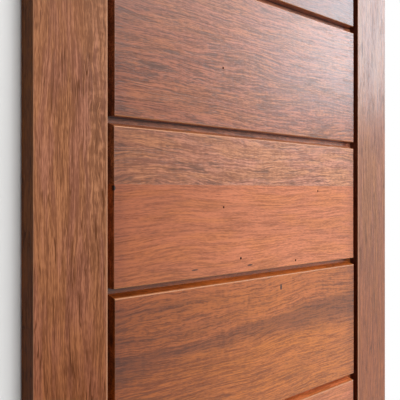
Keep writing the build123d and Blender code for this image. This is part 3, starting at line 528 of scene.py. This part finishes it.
def spotted(f, base, point, face_y, marks):
    """Holes and knots, dark to their edges."""
    x, y, z = point
    share = 0.0
    for mark in marks:
        over = f.calc("DIVIDE", f.less(x, mark.x), mark.half_width)
        up = f.calc("DIVIDE", f.less(z, mark.z), mark.half_height)
        reach = f.total(f.times(up, up), (over, over))
        share = f.most(share, f.step(reach, *mark_levels))
    shallow = f.step(f.less(y, face_y), *shallow_span)
    return f.tint(f.times(share, shallow), base, mark_tint)


def oiled(f, base, roughness, relief, ior):
    """The surface that all the timber shares."""
    f.set(Base_Color=base, Roughness=roughness, IOR=ior)
    f.bump(relief, timber_relief)
    return f.material


def board_timber(name, board, seam_z, outside, marks):
    """A board glued from two staves, with painted light and shade along its channels and towards the lock.
    """
    f = Finish(name)
    point = f.place()
    facing = f.facing()
    stave, place, stain = glued(f, point, grain_place(f, point, "X", board.seed), board, seam_z)
    base, roughness, relief = grain(f, place, stave, stain)
    base = edge_wear_light_and_shade(f, base, facing, end_grain(f, point))
    base = painted_light_and_shade(f, base, point, facing, outside)
    base = spotted(f, base, point, outside.face_y, marks)
    return oiled(f, base, roughness, relief, oiled_ior)


def stile_timber(name, stile, inner_x):
    """A stile with painted shade low down and on its edges, a painted highlight line beside the channel
    and, on one of them, rough grain beside the channel.
    """
    f = Finish(name)
    point = f.place()
    facing = f.facing()
    inset = f.gap(point.x, inner_x)
    stave = staves["stile"]
    if stile.rough:
        rough = f.times(f.step(inset, *rough_side_span), f.step(point.z, *rough_height_span))
        stave = blend_staves(f, rough, stave, staves["rough"])
    base, roughness, relief = grain(f, grain_place(f, point, "Z", stile.seed), stave)
    # Painted shade low down
    base = f.tint(f.step(point.z, *low_down_shade_span), base, stile.low_tint)
    on_front = f.step(facing.frontways, *front_levels)
    # A painted highlight line on the face beside the channel
    highlight_line = f.times(f.step(inset, *highlight_line_span), on_front, highlight_line_strength)
    base = edge_wear_light_and_shade(f, base, facing, stile.edge_tint, highlight_line)
    return oiled(f, base, roughness, relief, stile.ior)


def plain_timber(name, seed, tone):
    """Timber from one stave, with its grain level along the door."""
    f = Finish(name)
    point = f.place()
    base, roughness, relief = grain(f, grain_place(f, point, "X", seed), staves[tone])
    base = edge_wear_light_and_shade(f, base, f.facing(), end_grain(f, point))
    return oiled(f, base, roughness, relief, oiled_ior)


def paint(name, axis):
    """Satin white paint with faint brush marks along the piece."""
    f = Finish(name)
    place = laid_along(f.place(), axis)
    marks = f.noise(place, brush_patch)
    cloud = f.noise(place, paint_cloud_patch)
    f.set(Base_Color=f.clouded(cloud, paint_tone, paint_cloud_shade))
    f.set(Roughness=f.span(marks, *paint_roughness), IOR=paint_ior, Coat_Weight=paint_coat)
    f.bump(f.total(marks, (cloud, paint_cloud_relief)), paint_relief)
    return f.material


def metal(name, look, axis):
    """Brushed or plated metal: tone and gloss drawn out along the brushing."""
    f = Finish(name)
    place = laid_along(f.place(), axis)
    brushing = f.noise(place, look.patch, fine_detail)
    cloud = f.noise(place, metal_cloud_patch)
    mottle = f.total(f.times(brushing, metal_brushing_share), (cloud, metal_cloud_share))
    f.set(Base_Color=f.clouded(mottle, look.tone, metal_shade), Metallic=1.0)
    smooth = look.roughness - brushed_smoother
    rough = look.roughness + brushed_rougher
    f.set(Roughness=f.span(brushing, smooth, rough))
    f.bump(brushing, metal_relief)
    return f.material


def soft(name, look):
    """Rubber or nylon: a matt speckled skin."""
    f = Finish(name)
    place = f.place()
    speckles = f.noise(place, (look.speckle, look.speckle))
    cloud = f.noise(place, soft_cloud_patch)
    f.set(Base_Color=f.clouded(cloud, look.tone, soft_shade))
    smooth = look.roughness - speckle_roughness
    rough = look.roughness + speckle_roughness
    f.set(Roughness=f.span(speckles, smooth, rough))
    f.bump(speckles, soft_relief)
    return f.material


def give(material, *names):
    for name in names:
        slots = nodes[name].data.materials
        slots.clear()
        slots.append(material)


def dress_leaf():
    """Each board, stile and rail is its own piece of timber, and the dowels share one."""
    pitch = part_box("board_2")[0].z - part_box("board_1")[0].z
    for number, board in enumerate(boards, 1):
        name = f"board_{number}"
        low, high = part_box(name)
        seam_z = low.z + board.seam_share * (high.z - low.z)
        outside = Outside(low.z, low.z + pitch, low.y)
        give(board_timber(name + "_timber", board, seam_z, outside, board_marks.get(name, ())), name)
    for name, stile in stiles.items():
        low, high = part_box(name)
        inner_x = high.x if high.x < 0.0 else low.x
        give(stile_timber(name + "_timber", stile, inner_x), name)
    for name, seed in rail_seeds.items():
        give(plain_timber(name + "_timber", seed, "rose"), name)
    give(plain_timber("dowel_timber", dowel_seed, "amber"), "rail_dowels")


def dress_frame():
    """White jambs and head, an oiled sill and a rain bar."""
    give(paint("jamb_paint", "Z"), "lock_jamb", "hinge_jamb")
    give(paint("head_paint", "X"), "head_jamb")
    give(plain_timber("sill_timber", sill_seed, "brown"), "sill")
    give(metal("rain_bar_anodised", aluminium, "X"), "rain_bar")


def dress_seals():
    """Rubber around the leaf, and nylon washers in the hinges."""
    skin = soft("seal_rubber_skin", rubber)
    give(skin, "seal_lock_side", "seal_hinge_side", "seal_head", "bottom_seal")
    give(soft("washer_nylon_skin", nylon), "hinge_washers")


def make_latch_spring(material):
    """The latch's spring, copied onto the leaf: it rests on the case's back wall."""
    coil = bpy.data.objects.new("latch_spring_coil", nodes["latch_spring"].data.copy())
    coil.data.materials.clear()
    coil.data.materials.append(material)
    scene.collection.objects.link(coil)
    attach(coil, "leaf")
    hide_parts("latch_spring")
    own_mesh(coil)


def dress_hardware():
    """Zinc for screws, pins and lock work, satin steel for what shows, brass for the key cylinder."""
    plated = metal("zinc_plate", zinc, "Z")
    give(plated, "frame_screws", "strike_screws", "forend_screws", "hinge_pins", "spindle")
    make_latch_spring(plated)
    give(plated, "lock_case", "lock_cover", "follower", "deadbolt_hub", "tailpiece")
    upright = metal("satin_steel_upright", steel, "Z")
    give(upright, "strike_plate", "lock_forend", "latch_bolt", "deadbolt")
    for place in ("bottom", "middle", "top"):
        give(upright, f"hinge_{place}_frame_half", f"hinge_{place}_leaf_half")
    along = metal("satin_steel_along", steel, "X")
    give(along, "lever_outside", "lever_inside", "rose_outside", "rose_inside")
    give(along, "thumbturn_rose", "thumbturn")
    give(metal("key_brass_satin", brass, "Y"), "key_cylinder", "key_plug")


def make_floor():
    f = Finish("floor_pale")
    cloud = f.noise(f.place(), floor_cloud_patch, fine_detail)
    f.set(Base_Color=f.clouded(cloud, floor_tone, floor_cloud_shade), Roughness=floor_roughness)
    bpy.ops.mesh.primitive_circle_add(vertices=floor_sides, radius=floor_radius, fill_type="NGON")
    floor = bpy.context.object
    floor.name = "floor"
    floor.data.materials.append(f.material)


def make_lights():
    for name, light in lights.items():
        lamp = bpy.data.lights.new(name, "AREA")
        lamp.shape = "RECTANGLE"
        lamp.size = light.width
        lamp.size_y = light.height
        lamp.energy = light.watts
        lamp.color = light.tone
        thing = bpy.data.objects.new(name, lamp)
        thing.location = light.place
        direction = Vector(light.target) - Vector(light.place)
        thing.rotation_euler = direction.to_track_quat("-Z", "Y").to_euler()
        scene.collection.objects.link(thing)


def make_world():
    """White where it is seen, mirrored or looked through, and a plain grey where it only lights."""
    world = bpy.data.worlds.new("studio")
    world.use_nodes = True
    scene.world = world
    tree = world.node_tree
    lit = tree.nodes["Background"]
    lit.inputs["Color"].default_value = world_colour
    lit.inputs["Strength"].default_value = ambient_strength
    seen = tree.nodes.new("ShaderNodeBackground")
    seen.inputs["Color"].default_value = world_colour
    seen.inputs["Strength"].default_value = background_strength
    path = tree.nodes.new("ShaderNodeLightPath")
    share = path.outputs["Is Camera Ray"]
    for name in ("Is Glossy Ray", "Is Transmission Ray"):
        either = tree.nodes.new("ShaderNodeMath")
        either.operation = "MAXIMUM"
        tree.links.new(share, either.inputs[0])
        tree.links.new(path.outputs[name], either.inputs[1])
        share = either.outputs[0]
    choice = tree.nodes.new("ShaderNodeMixShader")
    tree.links.new(share, choice.inputs[0])
    tree.links.new(lit.outputs[0], choice.inputs[1])
    tree.links.new(seen.outputs[0], choice.inputs[2])
    tree.links.new(choice.outputs[0], tree.nodes["World Output"].inputs["Surface"])


def make_camera():
    camera = bpy.data.cameras.new("camera")
    camera.lens = camera_lens
    camera.sensor_width = camera_sensor
    camera.shift_y = camera_shift_y
    thing = bpy.data.objects.new("camera", camera)
    thing.location = camera_place
    thing.rotation_euler = (math.radians(level_pitch), 0.0, math.radians(-camera_turn))
    scene.collection.objects.link(thing)
    scene.camera = thing


dress_leaf()
dress_frame()
dress_seals()
dress_hardware()
make_floor()
make_lights()
make_world()
make_camera()
scene.view_settings.view_transform = "Standard"
